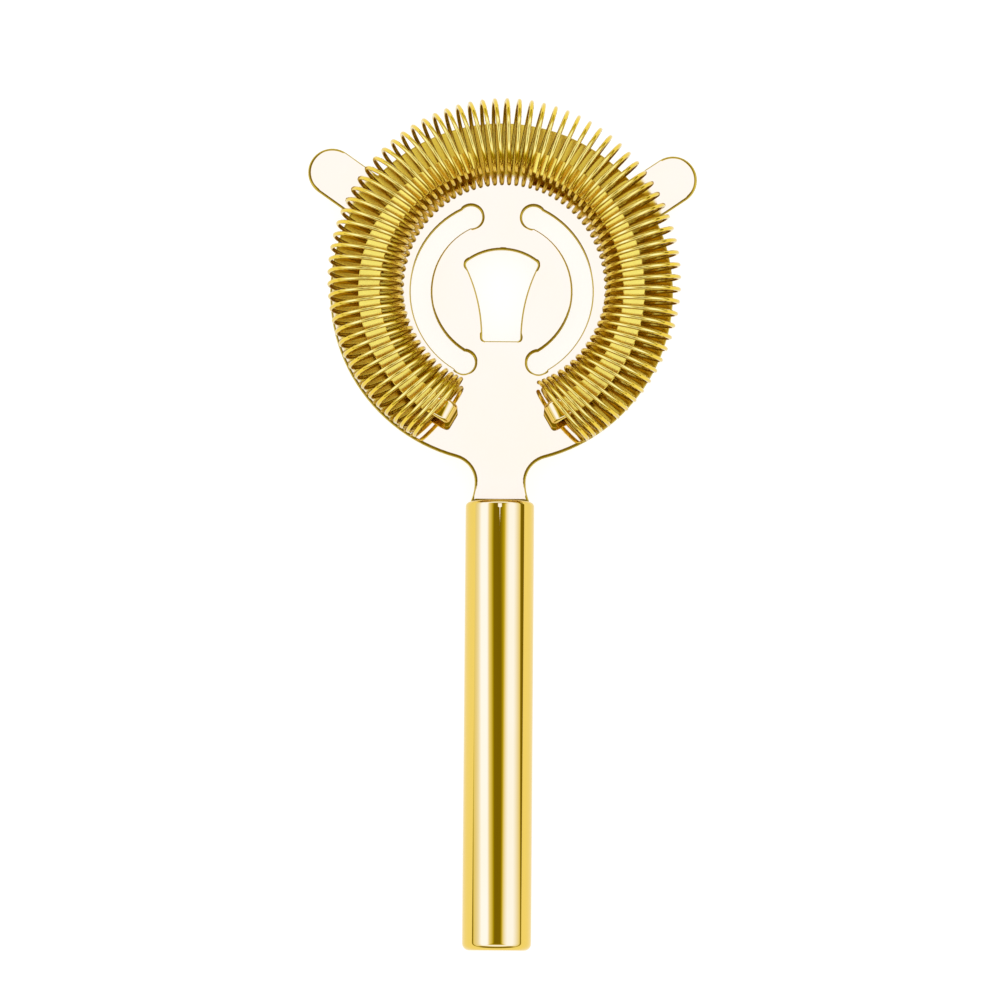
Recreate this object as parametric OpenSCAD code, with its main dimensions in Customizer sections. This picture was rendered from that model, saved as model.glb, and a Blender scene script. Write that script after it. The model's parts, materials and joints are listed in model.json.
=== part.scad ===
// Hawthorne strainer: a flat plate with a coil spring carried on two guide arms, and a round
// hollow handle. +Z is the spring side, +Y runs from the handle to the head, and the origin is
// under the middle of the whole length, on the plane that the handle's underside touches.

/* [Plate] */
// Diameter of the round plate
plate_d = 82.6; // [70:0.2:95]
// Thickness of the plate's sheet
plate_t = 1.2; // [1.15:0.05:2]
// Width of each ear
ear_w = 11.6; // [8:0.2:16]
// Distance from the plate's centre to the tip of the right ear
ear_reach = 55.4; // [51:0.2:62]
// Angle of the right ear in front of the plate's side-to-side line
right_ear_angle = 34; // [20:0.2:45]
// Angle of the left ear, which is bent a little further forward
left_ear_angle = 35.2; // [20:0.2:45]

/* [Neck] */
// Narrowest width of the neck
neck_w = 12.2; // [9:0.2:13]
// Radius of the fillet between the plate and the neck
neck_fillet_r = 6.2; // [4:0.2:7]
// Distance from the plate's centre to the handle's front face
neck_l = 50.6; // [49:0.2:56]
// Width of the shoulders where the neck meets the handle
shoulder_w = 14.2; // [13.4:0.1:15]
// Width of the tang inside the handle
tang_w = 10; // [7:0.5:12]
// Thickness of the tang, less than the plate's, so that the neck ends in a shoulder all round
tang_t = 1; // [0.6:0.05:1.1]
// Length of the tang inside the handle
tang_l = 20; // [12:1:40]

/* [Crescent slots] */
// Radius of a slot's inner edge
slot_inner_r = 17.1; // [16:0.1:18]
// Radius of a slot's outer edge
slot_outer_r = 21.9; // [20:0.1:23]
// Radius of the round lobe at each end of a slot
slot_lobe_r = 2.7; // [2:0.1:3]
// Distance of the lobes from the centre of the slots' curve
slot_lobe_at = 19.5; // [18:0.1:20]
// Distance from the plate's centre forward to the centre of the slots' curve
slot_shift = 0.35; // [0:0.05:1]
// Angle from the front to a slot's front lobe
slot_front = 22.7; // [18:0.1:30]
// Angle from the rear to a slot's rear lobe
slot_rear = 27.5; // [24:0.1:40]

/* [Keystone hole] */
// Distance from the plate's centre to the top of the hole's arch
key_top = 10.4; // [8:0.2:12]
// Distance from the plate's centre to the hole's flat foot
key_foot = 11.7; // [9:0.2:13]
// Width of the hole at its foot
key_foot_w = 9.1; // [7:0.2:11]
// Radius of the arch
key_arch_r = 13.7; // [12:0.1:16]
// Radius of the hollow curve of each side
key_side_r = 39; // [30:1:60]
// Radius of the two corners under the arch
key_corner_r = 1.1; // [0.6:0.1:1.6]
// Radius of the two corners at the foot
key_foot_r = 0.8; // [0.4:0.1:1.2]

/* [Coil spring] */
// Diameter of the spring's wire
wire_d = 1; // [0.8:0.05:1.2]
// Outside diameter of the coil
coil_d = 18.6; // [15:0.2:20]
// Number of turns of the coil
coil_turns = 78.5; // [40:0.5:80]
// How far the coil's centre line runs outside the arms' circle at the sides
ring_side_out = 1.4; // [0:0.1:2.2]
// How much longer than the arms' circle the bent spring's oval is, to the front and the rear
ring_front_out = 3.1; // [2:0.1:4.2]
// Distance from the plate's centre forward to the oval's centre
ring_shift = 1.7; // [0:0.1:2]
// Distance that the spring sits to the right of the plate's middle
ring_side_shift = 0.6; // [0:0.1:1]
// Angle from the rear to each end of the spring
ring_gap = 25.1; // [25:0.1:40]
// Angle that the spring has slid round its arms, towards its right end
ring_turn = 1.4; // [0:0.1:1.5]
// Turns that lie side by side at each end
end_turns = 3; // [1:1:5]
// Angle by which the end turns lean
end_lean = 3.5; // [0:0.5:4]
// Gap between the coil and the plate
coil_gap = 0.4; // [0.3:0.05:1]

/* [Guide arms] */
// Thickness of the arms' strip
arm_t = 1; // [0.8:0.1:1.2]
// Width of the arms' strip
arm_w = 5.2; // [4:0.1:6]
// Radius of an arm's centre line
arm_r = 31.7; // [31:0.1:32.4]
// Distance from the plate's centre back to the centre of the arms' curve
arm_shift = 0.5; // [0:0.1:1]
// Angle from the front to an arm's free end
arm_front = 12.4; // [8:0.2:20]
// Angle from the rear to the place where an arm runs straight
arm_rear = 30; // [28:0.5:34]
// Length of the straight tail, to the outer face of its leg
tail_l = 5.2; // [4:0.1:5.6]
// Inside radius of the bend from the tail to the leg
arm_bend_r = 1.8; // [0.6:0.1:2.4]
// Radius of the corners at an arm's free end
arm_corner_r = 1.4; // [0.8:0.1:1.9]

/* [Handle] */
// Diameter of the handle
handle_d = 16.5; // [15.6:0.1:20]
// Length of the handle with both its caps
handle_l = 107.4; // [80:0.2:140]
// Wall of the handle's tube
tube_wall = 1; // [0.8:0.1:1.2]
// Thickness of the top cap outside the tube
top_cap_t = 2; // [1.8:0.1:3]
// Rounding of the top cap's edge
top_cap_r = 1.1; // [0.5:0.1:1.6]
// Thickness of the end cap outside the tube
end_cap_t = 2; // [2:0.1:3]
// Rounding of the end cap's edge
end_cap_r = 1.8; // [0.5:0.1:1.9]
// Depth that each cap reaches into the tube
spigot_l = 6; // [4:0.5:10]
// Gap between a cap's spigot and the tube, and between the tang and its slot
seat_gap = 0.05; // [0.02:0.01:0.1]

/* [Hidden] */

gold = "#e3c25f";
deep_gold = "#c89b3c";
$fn = 96;
far = 200;          // longer than any piece, for wedges and cuts
lap = 0.5;          // overlap of the plate's shapes where they make one solid
join = 0.02;        // the same for the arms' shapes

axis_z = handle_d / 2;                       // height of the handle's axis and the plate's middle
ring_rx = arm_r + ring_side_out;             // half axes of the oval that the coil's middle runs on
ring_ry = arm_r + ring_front_out;
front_reach = ring_shift + ring_ry + coil_d / 2;
head_y = (neck_l + handle_l - front_reach) / 2;
plate_top = plate_t / 2;
coil_z = plate_top + coil_gap + coil_d / 2;  // the coil's centre line above the plate's middle

ear_side = (ear_reach - ear_w / 2) * cos(right_ear_angle);

neck_fillet_x = neck_w / 2 + neck_fillet_r;
neck_fillet_y = sqrt(pow(plate_d / 2 + neck_fillet_r, 2) - pow(neck_fillet_x, 2));
flare_rise = neck_l - neck_fillet_y;
flare_out = (shoulder_w - neck_w) / 2;
flare_r = (pow(flare_rise, 2) + pow(flare_out, 2)) / (2 * flare_out);

// Everything on the head is drawn about the plate's centre and moved here
module at_head() {
    translate([0, head_y, axis_z]) children();
}

// The right-hand shape and its mirror image
module both_sides() {
    children();
    mirror([1, 0, 0]) children();
}

// A wedge of the plane between two angles less than 180 degrees apart
module wedge(from, to) {
    mid = (from + to) / 2;
    polygon([[0, 0],
             far * [cos(from), sin(from)],
             2 * far * [cos(mid), sin(mid)],
             far * [cos(to), sin(to)]]);
}

// A sector of a flat ring
module ring_sector(inner, outer, from, to) {
    intersection() {
        difference() {
            circle(outer);
            circle(inner);
        }
        wedge(from, to);
    }
}

// ---- Plate ----

// An ear at an angle; both ears reach equally far to the side
module ear_outline(angle) {
    ear_l = ear_side / cos(angle);
    rotate(angle) {
        translate([0, -ear_w / 2]) square([ear_l, ear_w]);
        translate([ear_l, 0]) circle(ear_w / 2);
    }
}

// The neck: hollow fillets from the plate and a flare to the shoulders
module neck_outline() {
    difference() {
        union() {
            polygon([[0, 0],
                     [-neck_fillet_x, -neck_fillet_y],
                     [neck_fillet_x, -neck_fillet_y]]);
            translate([-shoulder_w / 2, -neck_l]) square([shoulder_w, flare_rise + lap]);
        }
        both_sides() {
            translate([neck_fillet_x, -neck_fillet_y]) circle(neck_fillet_r);
            intersection() {
                translate([neck_w / 2 + flare_r, -neck_fillet_y]) circle(flare_r);
                translate([0, -far - neck_fillet_y]) square([far, far]);
            }
        }
    }
}

module slot_outline() {
    translate([0, slot_shift]) {
        ring_sector(slot_inner_r, slot_outer_r, slot_rear - 90, 90 - slot_front);
        for (a = [slot_rear - 90, 90 - slot_front]) {
            rotate(a) translate([slot_lobe_at, 0]) circle(slot_lobe_r);
        }
    }
}

// Points along an arc, from one angle to another
function arc_points(centre, r, from, to, steps) =
    [for (i = [0 : steps])
        let (a = from + (to - from) * i / steps)
        centre + r * [cos(a), sin(a)]];

function direction(v) = atan2(v[1], v[0]);

// The keystone hole: an arch on top, two hollow sides and a flat foot, with round corners.
// A corner under the arch touches the arch's circle from inside and the side's from outside.
module keystone_outline() {
    arch = [0, key_top - key_arch_r];
    side = [key_foot_w / 2 + key_side_r, key_foot_r - key_foot];
    foot = [key_foot_w / 2 - key_foot_r, key_foot_r - key_foot];
    reach_a = key_arch_r - key_corner_r;
    reach_b = key_side_r + key_corner_r;
    span = norm(side - arch);
    along = (reach_a * reach_a - reach_b * reach_b + span * span) / (2 * span);
    across = sqrt(reach_a * reach_a - along * along);
    u = (side - arch) / span;
    corner = arch + along * u + across * [-u[1], u[0]];
    side_end = direction(corner - side);
    arch_start = direction(corner - arch);
    right = concat(
        arc_points(foot, key_foot_r, -90, 0, 6),
        arc_points(side, key_side_r, 179.5, side_end, 16),
        arc_points(corner, key_corner_r, side_end - 170, arch_start, 8),
        arc_points(arch, key_arch_r, arch_start + 3, 89, 10));
    left = [for (i = [len(right) - 1 : -1 : 0]) [-right[i][0], right[i][1]]];
    polygon(concat(right, left));
}

module strainer_plate() {
    color(gold) at_head() {
        translate([0, 0, -plate_t / 2]) linear_extrude(plate_t) difference() {
            union() {
                circle(plate_d / 2, $fn = 180);
                ear_outline(right_ear_angle);
                mirror([1, 0, 0]) ear_outline(left_ear_angle);
                neck_outline();
            }
            both_sides() slot_outline();
            keystone_outline();
        }
        translate([-tang_w / 2, -neck_l - tang_l, -tang_t / 2])
            cube([tang_w, tang_l + lap, tang_t]);
    }
}

// ---- Guide arms ----

// The free end of an arm, square with two round corners
module arm_tip() {
    inset = arm_w / 2 - arm_corner_r;
    rotate(90 - arm_front) translate([arm_r, -arm_corner_r]) {
        for (side = [-1, 1]) translate([side * inset, 0]) circle(arm_corner_r);
        translate([-inset, -join]) square([2 * inset, arm_corner_r + join]);
    }
}

// The straight tail, seen from its side: flat, bent down and standing on the plate
module tail_profile() {
    outer = arm_bend_r + arm_t;
    flat_l = tail_l - outer;
    translate([-join, -arm_t]) square([flat_l + 2 * join, arm_t]);
    translate([flat_l, -outer]) intersection() {
        difference() {
            circle(outer);
            circle(arm_bend_r);
        }
        square(far);
    }
    translate([tail_l - arm_t, plate_top - coil_z - arm_t / 2])
        square([arm_t, coil_z + arm_t / 2 - plate_top - outer + join]);
}

// The right-hand arm: a curved strip at the coil's mid height, with its tail bent to the plate
module guide_arm() {
    tip_angle = 90 - arm_front - asin(arm_corner_r / arm_r);
    at_head() translate([0, -arm_shift, coil_z]) {
        translate([0, 0, -arm_t / 2]) linear_extrude(arm_t) {
            ring_sector(arm_r - arm_w / 2, arm_r + arm_w / 2, arm_rear - 90, tip_angle);
            arm_tip();
        }
        rotate(arm_rear - 90) translate([arm_r, 0, arm_t / 2]) rotate([90, 0, 0]) rotate([0, 90, 0])
            mirror([1, 0, 0]) translate([0, 0, -arm_w / 2]) linear_extrude(arm_w) tail_profile();
    }
}

module left_guide_arm() {
    color(deep_gold) mirror([1, 0, 0]) guide_arm();
}

module right_guide_arm() {
    color(deep_gold) guide_arm();
}

// ---- Coil spring ----

wire_r = wire_d / 2;
coil_r = coil_d / 2 - wire_r;          // from the coil's centre line to the wire's
ring_half = 180 - ring_gap;            // half the sweep of the bent spring
steps_per_turn = 14;
wire_sides = 5;
end_pitch = (wire_d + 0.1) / (ring_rx - coil_r - 1.5) * 180 / PI;
open_turns = coil_turns - 2 * end_turns;
open_pitch = 2 * (ring_half - end_turns * end_pitch) / open_turns;

// The turn s, from 0 to coil_turns, lies at this angle from the spring's own middle
function turn_angle(s) =
    s < end_turns ? s * end_pitch - ring_half :
    s > coil_turns - end_turns ? ring_half - (coil_turns - s) * end_pitch :
    (s - coil_turns / 2) * open_pitch;

function oval_point(a) =
    [ring_side_shift + ring_rx * sin(a), ring_shift + ring_ry * cos(a), 0];

function oval_normal(a) =
    let (n = [sin(a) / ring_rx, cos(a) / ring_ry, 0])
    n / norm(n);

// Outward direction across the coil at the turn s, and the point on the wire's centre line.
// The wire starts outside, on the left, and a half turn more ends it inside, on the right.
function wire_phase(s) = 360 * s;
function wire_angle(s) = ring_turn + turn_angle(s)
    - end_lean * pow(turn_angle(s) / ring_half, 3) * cos(wire_phase(s));
function wire_out(s) =
    cos(wire_phase(s)) * oval_normal(wire_angle(s)) + [0, 0, sin(wire_phase(s))];
function wire_point(s) = oval_point(wire_angle(s)) + coil_r * wire_out(s);

// One cross-section of the wire, square to its centre line
function wire_section(s) =
    let (c = wire_point(s),
         n = wire_out(s),
         ahead = wire_point(s + 0.01) - wire_point(s - 0.01),
         b = cross(n, ahead) / norm(cross(n, ahead)))
    [for (i = [0 : wire_sides - 1])
        let (w = 360 * i / wire_sides)
        c + wire_r * (cos(w) * n + sin(w) * b)];

module coil_spring() {
    steps = coil_turns * steps_per_turn;
    k = wire_sides;
    points = [for (i = [0 : steps]) each wire_section(i / steps_per_turn)];
    sides = [for (i = [0 : steps - 1], j = [0 : k - 1])
        [i * k + j, i * k + (j + 1) % k, (i + 1) * k + (j + 1) % k, (i + 1) * k + j]];
    ends = [[for (j = [k - 1 : -1 : 0]) j], [for (j = [0 : k - 1]) steps * k + j]];
    color(gold) at_head() translate([0, 0, coil_z])
        polyhedron(points = points, faces = concat(sides, ends), convexity = 20);
}

// ---- Handle ----

tube_inner_r = handle_d / 2 - tube_wall;
tube_l = handle_l - top_cap_t - end_cap_t;

// Drawn along +Z from the handle's front face, and laid along -Y behind the neck
module along_handle() {
    translate([0, head_y - neck_l, axis_z]) rotate([90, 0, 0]) children();
}

module handle_tube() {
    color(gold) along_handle() translate([0, 0, top_cap_t]) difference() {
        cylinder(h = tube_l, d = handle_d);
        translate([0, 0, -1]) cylinder(h = tube_l + 2, r = tube_inner_r);
    }
}

// A turned cap: a head as wide as the tube with a rounded rim, and a spigot inside the tube
module turned_cap(head_t, rim_r) {
    rotate_extrude() {
        square([handle_d / 2 - rim_r, head_t]);
        translate([0, rim_r]) square([handle_d / 2, head_t - rim_r]);
        intersection() {
            translate([handle_d / 2 - rim_r, rim_r]) circle(rim_r);
            square([far, rim_r]);
        }
        square([tube_inner_r - seat_gap, head_t + spigot_l]);
    }
}

module handle_top_cap() {
    slot_w = tang_w + 2 * seat_gap;
    slot_t = tang_t + 2 * seat_gap;
    depth = top_cap_t + spigot_l + 2;
    color(gold) along_handle() difference() {
        turned_cap(top_cap_t, top_cap_r);
        translate([-slot_w / 2, -slot_t / 2, -1]) cube([slot_w, slot_t, depth]);
    }
}

module handle_end_cap() {
    color(gold) along_handle() translate([0, 0, handle_l]) mirror([0, 0, 1])
        turned_cap(end_cap_t, end_cap_r);
}

strainer_plate();
left_guide_arm();
right_guide_arm();
coil_spring();
handle_tube();
handle_top_cap();
handle_end_cap();
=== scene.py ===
import json
import math

import bpy
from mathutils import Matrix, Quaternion, Vector

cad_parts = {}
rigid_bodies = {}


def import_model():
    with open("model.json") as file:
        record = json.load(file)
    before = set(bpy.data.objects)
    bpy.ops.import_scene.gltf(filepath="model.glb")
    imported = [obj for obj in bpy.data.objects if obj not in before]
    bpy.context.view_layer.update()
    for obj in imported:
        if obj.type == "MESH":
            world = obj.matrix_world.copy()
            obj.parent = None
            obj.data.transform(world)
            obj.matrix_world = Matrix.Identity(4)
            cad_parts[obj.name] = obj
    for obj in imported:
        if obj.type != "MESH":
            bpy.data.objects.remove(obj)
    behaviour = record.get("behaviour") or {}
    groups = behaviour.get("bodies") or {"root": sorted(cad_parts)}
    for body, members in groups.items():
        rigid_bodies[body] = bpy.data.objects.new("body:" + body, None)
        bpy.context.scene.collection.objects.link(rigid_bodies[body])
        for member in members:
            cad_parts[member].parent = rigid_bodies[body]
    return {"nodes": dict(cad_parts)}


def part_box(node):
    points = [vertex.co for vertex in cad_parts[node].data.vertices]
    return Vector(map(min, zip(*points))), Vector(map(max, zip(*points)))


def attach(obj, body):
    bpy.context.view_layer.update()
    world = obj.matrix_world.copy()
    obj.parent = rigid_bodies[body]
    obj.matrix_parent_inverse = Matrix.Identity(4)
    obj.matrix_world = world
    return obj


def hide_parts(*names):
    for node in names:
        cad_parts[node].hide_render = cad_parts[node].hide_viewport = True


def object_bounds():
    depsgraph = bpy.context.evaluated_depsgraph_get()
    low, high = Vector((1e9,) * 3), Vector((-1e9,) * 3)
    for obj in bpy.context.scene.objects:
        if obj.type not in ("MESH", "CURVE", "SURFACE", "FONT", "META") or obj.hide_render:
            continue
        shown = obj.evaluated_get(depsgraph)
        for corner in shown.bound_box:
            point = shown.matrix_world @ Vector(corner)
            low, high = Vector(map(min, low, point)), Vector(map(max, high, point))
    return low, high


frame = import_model()
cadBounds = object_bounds()
print("frame loaded")

mm = 0.001

cleaning = {
    "mergeWithin": 1e-7,
    "flatWithin": 0.5,           # degrees
}


def clearSelection():
    if bpy.context.object and bpy.context.object.mode != "OBJECT":
        bpy.ops.object.mode_set(mode="OBJECT")
    bpy.ops.object.select_all(action="DESELECT")


def makeActive(piece):
    clearSelection()
    piece.select_set(True)
    bpy.context.view_layer.objects.active = piece


def addModifier(piece, kind, **settings):
    makeActive(piece)
    modifier = piece.modifiers.new(kind.lower(), kind)
    for key, value in settings.items():
        setattr(modifier, key, value)
    bpy.ops.object.modifier_apply(modifier=modifier.name)


def placeInMesh(piece):
    makeActive(piece)
    bpy.ops.object.transform_apply(location=True, rotation=True, scale=True)


def copyOfNode(nodeName, pieceName):
    makeActive(frame["nodes"][nodeName])
    bpy.ops.object.duplicate()
    piece = bpy.context.object
    piece.name = pieceName
    makeActive(piece)
    bpy.ops.object.parent_clear(type="CLEAR_KEEP_TRANSFORM")
    bpy.ops.object.mode_set(mode="EDIT")
    bpy.ops.mesh.select_all(action="SELECT")
    bpy.ops.mesh.remove_doubles(threshold=cleaning["mergeWithin"])
    bpy.ops.mesh.dissolve_limited(angle_limit=math.radians(cleaning["flatWithin"]))
    bpy.ops.object.mode_set(mode="OBJECT")
    piece.data.materials.clear()
    return piece


def selectFaces(piece, wanted):
    makeActive(piece)
    bpy.ops.object.mode_set(mode="EDIT")
    bpy.ops.mesh.select_mode(type="FACE")
    bpy.ops.mesh.select_all(action="DESELECT")
    bpy.ops.object.mode_set(mode="OBJECT")
    for face in piece.data.polygons:
        face.select = wanted(face)
    bpy.ops.object.mode_set(mode="EDIT")


def selectEdges(piece, wanted):
    makeActive(piece)
    bpy.ops.object.mode_set(mode="EDIT")
    bpy.ops.mesh.select_mode(type="EDGE")
    bpy.ops.mesh.select_all(action="DESELECT")
    bpy.ops.object.mode_set(mode="OBJECT")
    points = piece.data.vertices
    for edge in piece.data.edges:
        edge.select = wanted(edge, [points[i].co for i in edge.vertices])
    bpy.ops.object.mode_set(mode="EDIT")


def roundEdges(piece, width, segments, sharpest=50, material=-1, flatness=100, flatPart=""):
    makeActive(piece)
    bpy.ops.object.shade_smooth()
    addModifier(piece, "BEVEL", width=width, segments=segments, limit_method="ANGLE",
                angle_limit=math.radians(sharpest), use_clamp_overlap=False, material=material)
    addModifier(piece, "WEIGHTED_NORMAL", mode="FACE_AREA", weight=flatness, keep_sharp=False,
                vertex_group=flatPart)


def finishPiece(piece, material, body, slotName, *nodes):
    piece.data.materials.clear()
    piece.data.materials.append(material)
    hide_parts(*nodes)
    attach(piece, body)


class Signal:
    def __init__(self, sheet, socket):
        self.sheet = sheet
        self.socket = socket

    def maths(self, operation, first, second):
        return self.sheet.node("ShaderNodeMath", {"operation": operation}, {0: first, 1: second})

    def __add__(self, other):
        return self.maths("ADD", self, other)

    def __radd__(self, other):
        return self.maths("ADD", other, self)

    def __sub__(self, other):
        return self.maths("SUBTRACT", self, other)

    def __rsub__(self, other):
        return self.maths("SUBTRACT", other, self)

    def __mul__(self, other):
        return self.maths("MULTIPLY", self, other)

    def __rmul__(self, other):
        return self.maths("MULTIPLY", other, self)

    def __truediv__(self, other):
        return self.maths("DIVIDE", self, other)


class Sheet:
    def __init__(self, owner):
        owner.use_nodes = True
        self.tree = owner.node_tree
        self.tree.nodes.clear()

    def node(self, kind, settings=None, inputs=None, output=0):
        made = self.tree.nodes.new(kind)
        for key, value in (settings or {}).items():
            if key == "stops":
                ramp = made.color_ramp.elements
                while len(ramp) < len(value):
                    ramp.new(0.5)
                for stop, (place, colour) in zip(ramp, value):
                    stop.position = place
                    stop.color = colour
            else:
                setattr(made, key, value)
        for key, value in (inputs or {}).items():
            if isinstance(value, Signal):
                self.tree.links.new(value.socket, made.inputs[key])
            else:
                made.inputs[key].default_value = value
        return Signal(self, made.outputs[output]) if len(made.outputs) else made

    def fade(self, value, start, end):
        return self.node("ShaderNodeMapRange", {"interpolation_type": "SMOOTHSTEP"},
                         {"Value": value, "From Min": start, "From Max": end})

    def linear(self, value, start, end):
        return self.node("ShaderNodeMapRange", {},
                         {"Value": value, "From Min": start, "From Max": end})

    def mixColours(self, factor, under, over):
        return self.node("ShaderNodeMix", {"data_type": "RGBA"},
                         {"Factor": factor, 6: under, 7: over}, 2)

    def either(self, first, second):
        return self.node("ShaderNodeMath", {"operation": "MAXIMUM"}, {0: first, 1: second})

    def size(self, value):
        return self.node("ShaderNodeMath", {"operation": "ABSOLUTE"}, {0: value})

    def degrees(self, first, second):
        angle = self.node("ShaderNodeMath", {"operation": "ARCTAN2"}, {0: first, 1: second})
        return angle * (180 / math.pi)

    def metalRays(self):
        glossy = self.node("ShaderNodeLightPath", output="Is Glossy Ray")
        through = self.node("ShaderNodeLightPath", output="Is Transmission Ray")
        return self.either(glossy, through)

    def whiteRays(self):
        camera = self.node("ShaderNodeLightPath", output="Is Camera Ray")
        return self.either(camera, self.metalRays())


goldLooks = {
    "plate": {"light": (0.80, 0.58, 0.135, 1), "deep": (0.79, 0.565, 0.12, 1),
              "roughness": 0.02, "grain": 0.02, "bump": 0.004},
    # painted shade: the plate's rounded edges are painted darker and deeper, a painted dark
    # outline, and are also rougher
    "plateEdge": {"light": (0.62, 0.43, 0.03, 1), "deep": (0.52, 0.35, 0.02, 1),
                  "roughness": 0.16, "grain": 0.1, "bump": 0.02},
    "spring": {"light": (0.84, 0.625, 0.08, 1), "deep": (0.72, 0.51, 0.04, 1),
               "roughness": 0.07, "grain": 0.08, "bump": 0.02},
    "arms": {"light": (0.82, 0.57, 0.035, 1), "deep": (0.76, 0.51, 0.025, 1),
             "roughness": 0.10, "grain": 0.1, "bump": 0.02},
    "handle": {"light": (0.78, 0.565, 0.12, 1), "deep": (0.76, 0.545, 0.10, 1),
               "roughness": 0.01, "grain": 0.015, "bump": 0.002},
}

goldNoise = {
    "tarnish": {"Scale": 45.0, "Detail": 4.0},
    "smudge": {"Scale": 320.0, "Detail": 6.0, "Roughness": 0.62},
    "bumpDistance": 0.2 * mm,
}

coilSizes = {
    "wire": 1.0 * mm,
    "turns": 78.5,
    "ovalLength": 34.8 * mm,     # half the length of the bent spring's centre line
    "sideShift": 0.6 * mm,       # the spring sits a little to the right
    "turnRound": 1.4,            # and has slid round its arms by this angle
    "gapAngle": 25.1,            # from the rear to each end of the spring
    "closeTurns": 3,
    "closeGap": 0.1 * mm,
    "closeInset": 1.5 * mm,      # the end turns lie close this far inside the coil
    "lean": 3.5,                 # of the end turns, in degrees
    "stepsPerTurn": 40,
    "roundness": 2,
}


def springOval():
    low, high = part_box("coil_spring")
    outerRadius = (high.z - low.z) / 2
    ovalWidth = (high.x - low.x) / 2 - outerRadius
    front = high.y - outerRadius
    centre = Vector((coilSizes["sideShift"], front - coilSizes["ovalLength"],
                     (low.z + high.z) / 2))
    return ovalWidth, coilSizes["ovalLength"], centre


underSpringShade = {                       # painted shade: the plate is painted darker and deeper, and made rougher, under the spring that shades it
    "colour": (0.62, 0.37, 0.012, 1),
    "roughness": 0.12,
    "halfWidth": (7.6, 9.0),     # mm from the middle of the spring, where it fades and ends
    "rearGap": (30, 36),         # degrees from the rear, where it starts and where it is full
    "startDepth": 0.4 * mm,      # below the plate's top face
    "fullDepth": 0.2 * mm,
}


# mask of the painted shade on the plate under the spring
def underSpringShadeMask(sheet, place):
    halfX, halfY, centre = springOval()
    x = (sheet.node("ShaderNodeSeparateXYZ", {}, {0: place}, 0) - centre.x) / halfX
    y = (sheet.node("ShaderNodeSeparateXYZ", {}, {0: place}, 1) - centre.y) / halfY
    z = sheet.node("ShaderNodeSeparateXYZ", {}, {0: place}, 2)
    reach = sheet.node("ShaderNodeMath", {"operation": "SQRT"}, {0: x * x + y * y})
    apart = sheet.size(reach - 1) * (halfY / mm)
    turn = sheet.degrees(sheet.size(x), -1 * y)
    mask = (1 - sheet.fade(apart, *underSpringShade["halfWidth"])) * sheet.fade(turn, *underSpringShade["rearGap"])
    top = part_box("strainer_plate")[1].z
    return mask * sheet.fade(z, top - underSpringShade["startDepth"], top - underSpringShade["fullDepth"])


shadedBelow = {                    # painted shade: the coil's lower half is painted darker than its crests
    "colour": (0.50, 0.34, 0.02, 1),
    "heights": (-5, 5),          # mm from the coil's middle, painted dark below and left bright above
}


def goldMaterial(name, shadesUnderSpring=False, shadesBelow=False):
    look = goldLooks[name]
    material = bpy.data.materials.new(name + "Gold")
    sheet = Sheet(material)
    place = sheet.node("ShaderNodeTexCoord", output="Object")
    tarnish = sheet.node("ShaderNodeTexNoise", {},
                         {"Vector": place, **goldNoise["tarnish"]}, "Fac")
    smudge = sheet.node("ShaderNodeTexNoise", {},
                        {"Vector": place, **goldNoise["smudge"]}, "Fac")
    colour = sheet.mixColours(tarnish, look["light"], look["deep"])
    roughness = look["roughness"] + look["grain"] * smudge * tarnish
    if shadesUnderSpring:
        # painted shade: the plate's colour is darkened under the spring, and its roughness raised
        # there
        mask = underSpringShadeMask(sheet, place)
        colour = sheet.mixColours(mask, colour, underSpringShade["colour"])
        roughness = roughness + mask * underSpringShade["roughness"]
    if shadesBelow:
        # painted shade: the coil's colour darkens towards its underside
        z = sheet.node("ShaderNodeSeparateXYZ", {}, {0: place}, 2)
        bright = sheet.fade((z - springOval()[2].z) / mm, *shadedBelow["heights"])
        colour = sheet.mixColours(bright, shadedBelow["colour"], colour)
    bump = sheet.node("ShaderNodeBump", {}, {
        "Height": smudge, "Strength": look["bump"], "Distance": goldNoise["bumpDistance"]})
    surface = sheet.node("ShaderNodeBsdfPrincipled", {}, {
        "Base Color": colour, "Metallic": 1.0, "Roughness": roughness, "Normal": bump})
    sheet.node("ShaderNodeOutputMaterial", {}, {"Surface": surface})
    return material


plateSizes = {
    "edge": 0.26 * mm,
    "edgeSteps": 3,
    "rollOver": 0.8 * mm,        # the stamped face falls away a little towards every edge
    "rollDepth": 0.012 * mm,
    "facesUp": 0.99,             # least z of the top face's normal
    "topWithin": 0.1 * mm,
}


def makePlate():
    plate = copyOfNode("strainer_plate", "polished_plate")
    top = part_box("strainer_plate")[1].z
    selectFaces(plate, lambda f: f.normal.z > plateSizes["facesUp"]
                and f.center.z > top - plateSizes["topWithin"])
    bpy.ops.mesh.inset(thickness=plateSizes["rollOver"], depth=plateSizes["rollDepth"],
                       use_boundary=True)
    bpy.ops.object.mode_set(mode="OBJECT")
    plate.data.materials.append(goldMaterial("plate", shadesUnderSpring=True))
    # the second material paints shade onto the rounded edges
    plate.data.materials.append(goldMaterial("plateEdge"))
    roundEdges(plate, plateSizes["edge"], plateSizes["edgeSteps"], material=1)
    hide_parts("strainer_plate")
    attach(plate, "frame")
    print("plate made")


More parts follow.
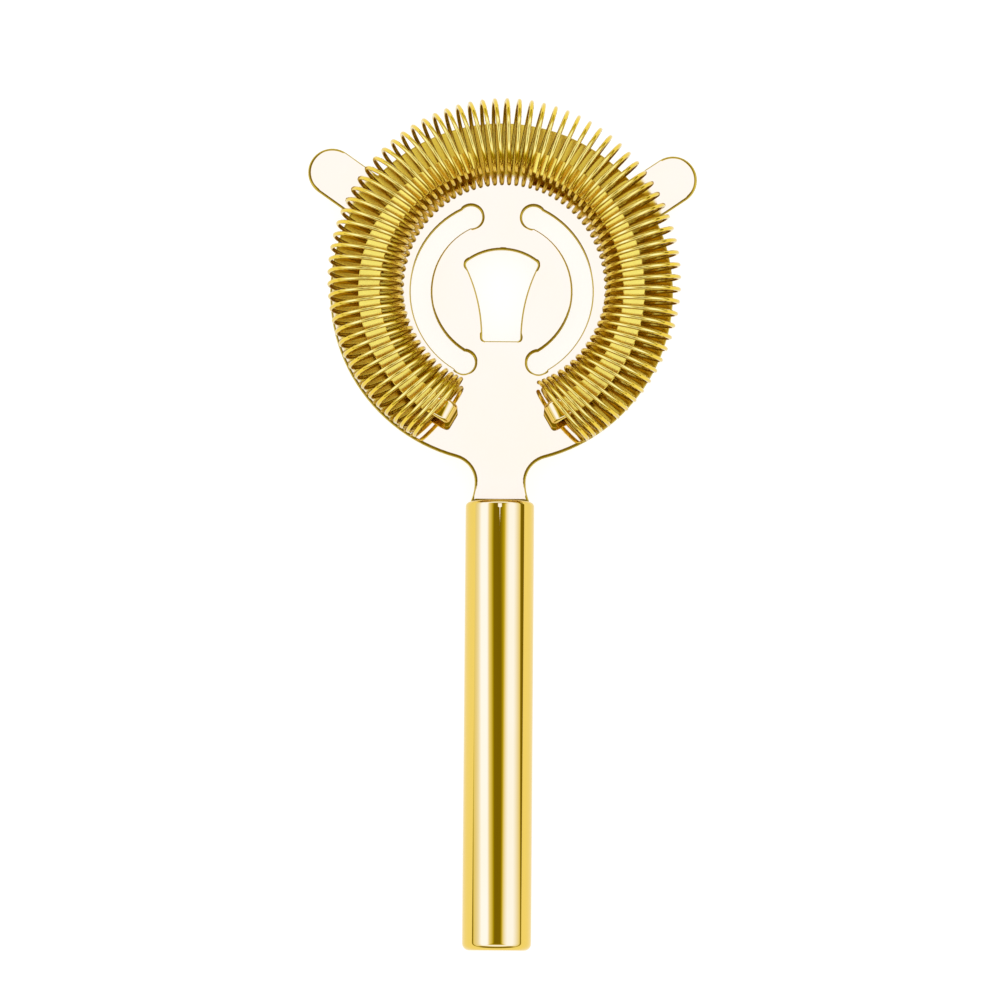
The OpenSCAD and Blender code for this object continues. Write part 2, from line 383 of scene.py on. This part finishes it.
armSizes = {
    "edge": 0.22 * mm,
    "edgeSteps": 2,
    "sharpest": 40,              # degrees, from which an edge is rounded
    "flatness": 50,              # how much the large faces keep their own shading
    "centre": (0, 55.6 * mm, 0),  # of the strip's curve
    "radius": 31.7 * mm,         # middle of the strip
    "width": 5.2 * mm,
    "rearAngle": 30,             # from the rear to where the straight tail starts
    "tail": 5.2 * mm,
    "bend": 2.8 * mm,            # outside radius, where the tail turns down
    "tailEdge": 0.85 * mm,       # the tail's outer edges are drawn round
    "tailSteps": 5,
    "domeFrom": 1.2 * mm,        # along the tail, from where it is shaded as a dome
    "sideWithin": 0.05 * mm,
    "startWithin": 0.1 * mm,
    "surfaceWithin": 0.06 * mm,
}


def tailPlace(point, sign):
    angle = math.radians(armSizes["rearAngle"])
    outwards = Vector((sign * math.sin(angle), -math.cos(angle), 0))
    backwards = Vector((-sign * math.cos(angle), -math.sin(angle), 0))
    offset = point - Vector(armSizes["centre"])
    return offset.dot(outwards) - armSizes["radius"], offset.dot(backwards)


def roundTail(arm, sign):
    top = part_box("right_guide_arm")[1].z
    bend = armSizes["bend"]
    corner = armSizes["tail"] - bend

    def onOuterEdge(edge, ends):
        for point in ends:
            across, along = tailPlace(point, sign)
            fromSide = abs(across) - armSizes["width"] / 2
            if along < -armSizes["startWithin"] or abs(fromSide) > armSizes["sideWithin"]:
                return False
            if point.z > top - bend and along > corner:
                away = math.hypot(along - corner, point.z - (top - bend)) - bend
            else:
                away = max(point.z - top, along - armSizes["tail"])
            if abs(away) > armSizes["surfaceWithin"]:
                return False
        return tailPlace(ends[0], sign)[0] * tailPlace(ends[1], sign)[0] > 0

    selectEdges(arm, onOuterEdge)
    bpy.ops.mesh.bevel(offset=armSizes["tailEdge"], segments=armSizes["tailSteps"],
                       affect="EDGES")
    bpy.ops.object.mode_set(mode="OBJECT")
    flat = arm.vertex_groups.new(name="flat")
    flat.add([v.index for v in arm.data.vertices
              if tailPlace(v.co, sign)[1] < armSizes["domeFrom"]], 1, "REPLACE")


def makeArms():
    material = goldMaterial("arms")
    polished = goldMaterial("handle")
    for side, sign in (("left", -1), ("right", 1)):
        arm = copyOfNode(side + "_guide_arm", side + "_arm_strip")
        roundTail(arm, sign)
        roundEdges(arm, armSizes["edge"], armSizes["edgeSteps"],
                   sharpest=armSizes["sharpest"], flatness=armSizes["flatness"], flatPart="flat")
        finishPiece(arm, material, "frame", "spring_gold", side + "_guide_arm")
        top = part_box(side + "_guide_arm")[1].z
        for vertex in arm.data.vertices:
            vertex.co.z = min(vertex.co.z, top)
        arm.data.materials.append(polished)
        for face in arm.data.polygons:
            face.material_index = int(tailPlace(face.center, sign)[1] > 0)
    print("guide arms made")


def makeSpring():
    low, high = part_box("coil_spring")
    wireRadius = coilSizes["wire"] / 2
    coilRadius = (high.z - low.z) / 2 - wireRadius
    ovalWidth, ovalLength, centre = springOval()
    halfSweep = 180 - coilSizes["gapAngle"]
    innerRadius = ovalWidth - coilRadius - coilSizes["closeInset"]
    closePitch = math.degrees((coilSizes["wire"] + coilSizes["closeGap"]) / innerRadius)
    turns = coilSizes["turns"]
    closeTurns = coilSizes["closeTurns"]
    openPitch = 2 * (halfSweep - closeTurns * closePitch) / (turns - 2 * closeTurns)

    def ringAngle(turn):
        if turn < closeTurns:
            return turn * closePitch - halfSweep
        if turn > turns - closeTurns:
            return halfSweep - (turns - turn) * closePitch
        return (turn - turns / 2) * openPitch

    def wirePoint(turn):
        phase = math.radians(360 * turn)
        flat = ringAngle(turn)
        angle = math.radians(coilSizes["turnRound"] + flat
                             - coilSizes["lean"] * (flat / halfSweep) ** 3 * math.cos(phase))
        middle = centre + Vector((ovalWidth * math.sin(angle), ovalLength * math.cos(angle), 0))
        outward = Vector((math.sin(angle) / ovalWidth, math.cos(angle) / ovalLength, 0))
        swing = math.cos(phase) * outward.normalized() + math.sin(phase) * Vector((0, 0, 1))
        return middle + coilRadius * swing

    count = round(turns * coilSizes["stepsPerTurn"]) + 1
    curve = bpy.data.curves.new("coil", "CURVE")
    curve.dimensions = "3D"
    line = curve.splines.new("POLY")
    line.points.add(count - 1)
    for i, point in enumerate(line.points):
        point.co = (*wirePoint(i / coilSizes["stepsPerTurn"]), 1)
    curve.bevel_depth = wireRadius
    curve.bevel_resolution = coilSizes["roundness"]
    curve.use_fill_caps = True
    coil = bpy.data.objects.new("coil_wire", curve)
    bpy.context.collection.objects.link(coil)
    makeActive(coil)
    bpy.ops.object.convert(target="MESH")
    coil = bpy.context.object
    bpy.ops.object.shade_smooth()
    finishPiece(coil, goldMaterial("spring", shadesBelow=True), "spring", "spring_gold", "coil_spring")
    print("spring made")


handleSizes = {
    "sides": 192,
    "smoothBelow": 40,           # degrees
    "rimSteps": 12,
    "facesBack": 0.9,            # least size of y in the normal of a cap's inner face
    "faceWithin": 1e-6,
    "wall": 1.0 * mm,
    "topCap": 2.0 * mm,
    "topRim": 1.1 * mm,
    "endCap": 2.0 * mm,
    "endRim": 1.75 * mm,
    "seatGap": 0.05 * mm,
}


def smoothSides(piece):
    makeActive(piece)
    bpy.ops.object.shade_smooth_by_angle(angle=math.radians(handleSizes["smoothBelow"]))


def makeTube(material):
    low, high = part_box("handle_tube")
    centre = (low + high) / 2
    radius = (high.x - low.x) / 2
    clearSelection()
    bpy.ops.mesh.primitive_cylinder_add(vertices=handleSizes["sides"], radius=radius,
                                        depth=high.y - low.y, end_fill_type="NOTHING",
                                        location=centre, rotation=(math.radians(90), 0, 0))
    tube = bpy.context.object
    tube.name = "handle_sleeve"
    placeInMesh(tube)
    addModifier(tube, "SOLIDIFY", thickness=handleSizes["wall"], offset=-1)
    smoothSides(tube)
    finishPiece(tube, material, "frame", "handle_gold", "handle_tube")


def makeCap(nodeName, pieceName, headDepth, rimRadius, outward, material):
    low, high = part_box(nodeName)
    radius = (high.x - low.x) / 2
    middle = (low + high) / 2
    face = high.y if outward > 0 else low.y
    spigotDepth = high.y - low.y - headDepth
    clearSelection()
    bpy.ops.mesh.primitive_cylinder_add(
        vertices=handleSizes["sides"], radius=radius, depth=headDepth,
        location=(middle.x, face - outward * headDepth / 2, middle.z),
        rotation=(math.radians(90), 0, 0))
    cap = bpy.context.object
    cap.name = pieceName
    placeInMesh(cap)
    selectFaces(cap, lambda f: f.normal.y * outward < -handleSizes["facesBack"])
    bpy.ops.mesh.inset(thickness=handleSizes["wall"] + handleSizes["seatGap"])
    bpy.ops.mesh.extrude_region_move(
        TRANSFORM_OT_translate={"value": (0, -outward * spigotDepth, 0)})
    selectEdges(cap, lambda e, ends: all(abs(p.y - face) < handleSizes["faceWithin"] for p in ends))
    bpy.ops.mesh.bevel(offset=rimRadius, segments=handleSizes["rimSteps"], affect="EDGES",
                       clamp_overlap=False)
    bpy.ops.object.mode_set(mode="OBJECT")
    smoothSides(cap)
    finishPiece(cap, material, "frame", "handle_gold", nodeName)


def makeHandle():
    material = goldMaterial("handle")
    makeTube(material)
    makeCap("handle_top_cap", "top_cap_turned", handleSizes["topCap"], handleSizes["topRim"],
            1, material)
    makeCap("handle_end_cap", "end_cap_turned", handleSizes["endCap"], handleSizes["endRim"],
            -1, material)
    print("handle made")


studio = {
    "floorColour": (0.35, 0.35, 0.35, 1),
    "floorLift": 0.80,           # makes the floor white to the camera and in the metal
    "floorSize": 8,
    "floorGap": 0.2 * mm,
    "distance": 1.4,
    "lens": 210,
    "sensor": 36,
    "farClip": 50,
    "tilt": 5.4,                 # camera's lean from straight above, towards the handle
    "roll": 0.45,
    "aim": (0.0, 0.006),
}


def makeCamera():
    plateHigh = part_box("strainer_plate")[1]
    aim = Vector((*studio["aim"], plateHigh.z))
    tilt = math.radians(studio["tilt"])
    back = Vector((0, -math.sin(tilt), math.cos(tilt)))
    clearSelection()
    bpy.ops.object.camera_add(location=aim + back * studio["distance"])
    camera = bpy.context.object
    turn = Quaternion(back, math.radians(studio["roll"])) @ (-back).to_track_quat("-Z", "Y")
    camera.rotation_euler = turn.to_euler()
    camera.data.lens = studio["lens"]
    camera.data.sensor_width = studio["sensor"]
    camera.data.clip_end = studio["farClip"]
    bpy.context.scene.camera = camera


def makeFloor():
    clearSelection()
    bpy.ops.mesh.primitive_plane_add(
        size=studio["floorSize"], location=(0, 0, cadBounds[0].z - studio["floorGap"]))
    floor = bpy.context.object
    floor.name = "floor"
    material = bpy.data.materials.new("paleFloor")
    sheet = Sheet(material)
    matte = sheet.node("ShaderNodeBsdfDiffuse", {}, {"Color": studio["floorColour"]})
    lift = sheet.node("ShaderNodeEmission", {},
                      {"Strength": sheet.whiteRays() * studio["floorLift"]})
    both = sheet.node("ShaderNodeAddShader", {}, {0: matte, 1: lift})
    sheet.node("ShaderNodeOutputMaterial", {}, {"Surface": both})
    floor.data.materials.append(material)


# The metal sees a studio with soft boxes left, right, in front and behind, and a dark gap overhead.
# Places are in degrees from overhead. Tones run from 0, dark, over 0.5, the backdrop, to 1, a box.
tent = {
    "darkTone": (0.12, 0.075, 0.0, 1),
    "dimTone": (0.60, 0.55, 0.02, 1),
    "plainTone": (1.0, 1.0, 1.0, 1),
    "boxTone": (1.35, 1.75, 7.6, 1),    # cool, so that gold runs to cream in it, not to lemon
    "toneSteps": (0, 0.25, 0.5, 1),     # where dark, dim, plain and box lie
    "sideways": [(-90, 0.06), (-86, 0.10), (-83, 0.50), (-70, 0.59), (-63, 0.68), (-57, 0.84),
                 (-52, 0.97), (-34, 0.98), (-30, 0.92), (-27, 0.74), (-24, 0.58), (-20, 0.50),
                 (-14, 0.32), (-10, 0.17), (-7, 0.07), (12, 0.07), (16, 0.26), (20, 0.52),
                 (26, 0.73), (30, 0.83), (36, 0.94), (54, 0.95), (62, 0.84), (70, 0.70),
                 (78, 0.58), (83, 0.50), (86, 0.10), (90, 0.06)],
    "lengthways": [(-90, 0.06), (-66, 0.10), (-58, 0.50), (-50, 0.90), (-38, 0.90), (-30, 0.50),
                   (-24, 0.14), (-8, 0.06), (16, 0.06), (26, 0.16), (34, 0.60), (40, 0.92),
                   (52, 0.90), (62, 0.44), (70, 0.30), (82, 0.26), (86, 0.10), (90, 0.06)],
    "cornerBlend": 0.2,
    "leanFrom": 0.021, "leanTo": 0.087,       # as a ray leans forward, the side boxes slide left
    "slideLeft": 12, "slideRight": 14, "stillAt": 17,
    "frontBox": {"ahead": (5.26, 15), "soft": (0.05, 8), "widens": (5.3, 6.2),
                 "side": (0.8, 5), "sideSoft": 0.5, "tone": 0.945},
}


def ramp(sheet, angle, stops):
    stops = [((place + 90) / 180, (tone, tone, tone, 1)) for place, tone in stops]
    return sheet.node("ShaderNodeValToRGB", {"stops": stops}, {"Fac": (angle + 90) / 180})


def between(sheet, value, low, high, softLow, softHigh):
    rise = sheet.fade(value, low - softLow, low)
    fall = sheet.fade(value, high, high + softHigh)
    return rise * (1 - fall)


def makeWorld():
    world = bpy.data.worlds.new("studioTent")
    bpy.context.scene.world = world
    sheet = Sheet(world)
    way = sheet.node("ShaderNodeTexCoord", output="Generated")
    x = sheet.node("ShaderNodeSeparateXYZ", {}, {0: way}, 0)
    y = sheet.node("ShaderNodeSeparateXYZ", {}, {0: way}, 1)
    z = sheet.node("ShaderNodeSeparateXYZ", {}, {0: way}, 2)
    side = sheet.degrees(x, z)
    ahead = sheet.degrees(y, z)

    lean = sheet.linear(y, tent["leanFrom"], tent["leanTo"])
    slide = sheet.linear(side, tent["stillAt"], 0) * tent["slideLeft"]
    slide = slide + sheet.linear(side, tent["stillAt"], 90) * tent["slideRight"]
    sideways = ramp(sheet, side + slide * lean, tent["sideways"])
    lengthways = ramp(sheet, ahead, tent["lengthways"])
    blend = tent["cornerBlend"]
    toSide = sheet.fade(sheet.size(x) - sheet.size(y), -blend, blend)
    tone = sheet.mixColours(toSide, lengthways, sideways)
    tone = sheet.node("ShaderNodeSeparateColor", {}, {0: tone})

    box = tent["frontBox"]
    narrow, wide = box["side"]
    reach = narrow + sheet.linear(ahead, *box["widens"]) * (wide - narrow)
    mask = between(sheet, ahead, *box["ahead"], *box["soft"])
    mask = mask * between(sheet, side / reach, -1, 1, box["sideSoft"], box["sideSoft"])
    tone = tone * (1 - mask) + mask * box["tone"]

    dark, dim, plain, bright = tent["toneSteps"]
    seen = sheet.mixColours(sheet.linear(tone, dark, dim), tent["darkTone"], tent["dimTone"])
    seen = sheet.mixColours(sheet.linear(tone, dim, plain), seen, tent["plainTone"])
    seen = sheet.mixColours(sheet.linear(tone, plain, bright), seen, tent["boxTone"])
    colour = sheet.mixColours(sheet.metalRays(), tent["plainTone"], seen)
    background = sheet.node("ShaderNodeBackground", {}, {"Color": colour, "Strength": 1.0})
    sheet.node("ShaderNodeOutputWorld", {}, {"Surface": background})


scene = bpy.context.scene
scene.view_settings.view_transform = "Standard"
makeCamera()
makeFloor()
makeWorld()
makePlate()
makeArms()
makeSpring()
makeHandle()
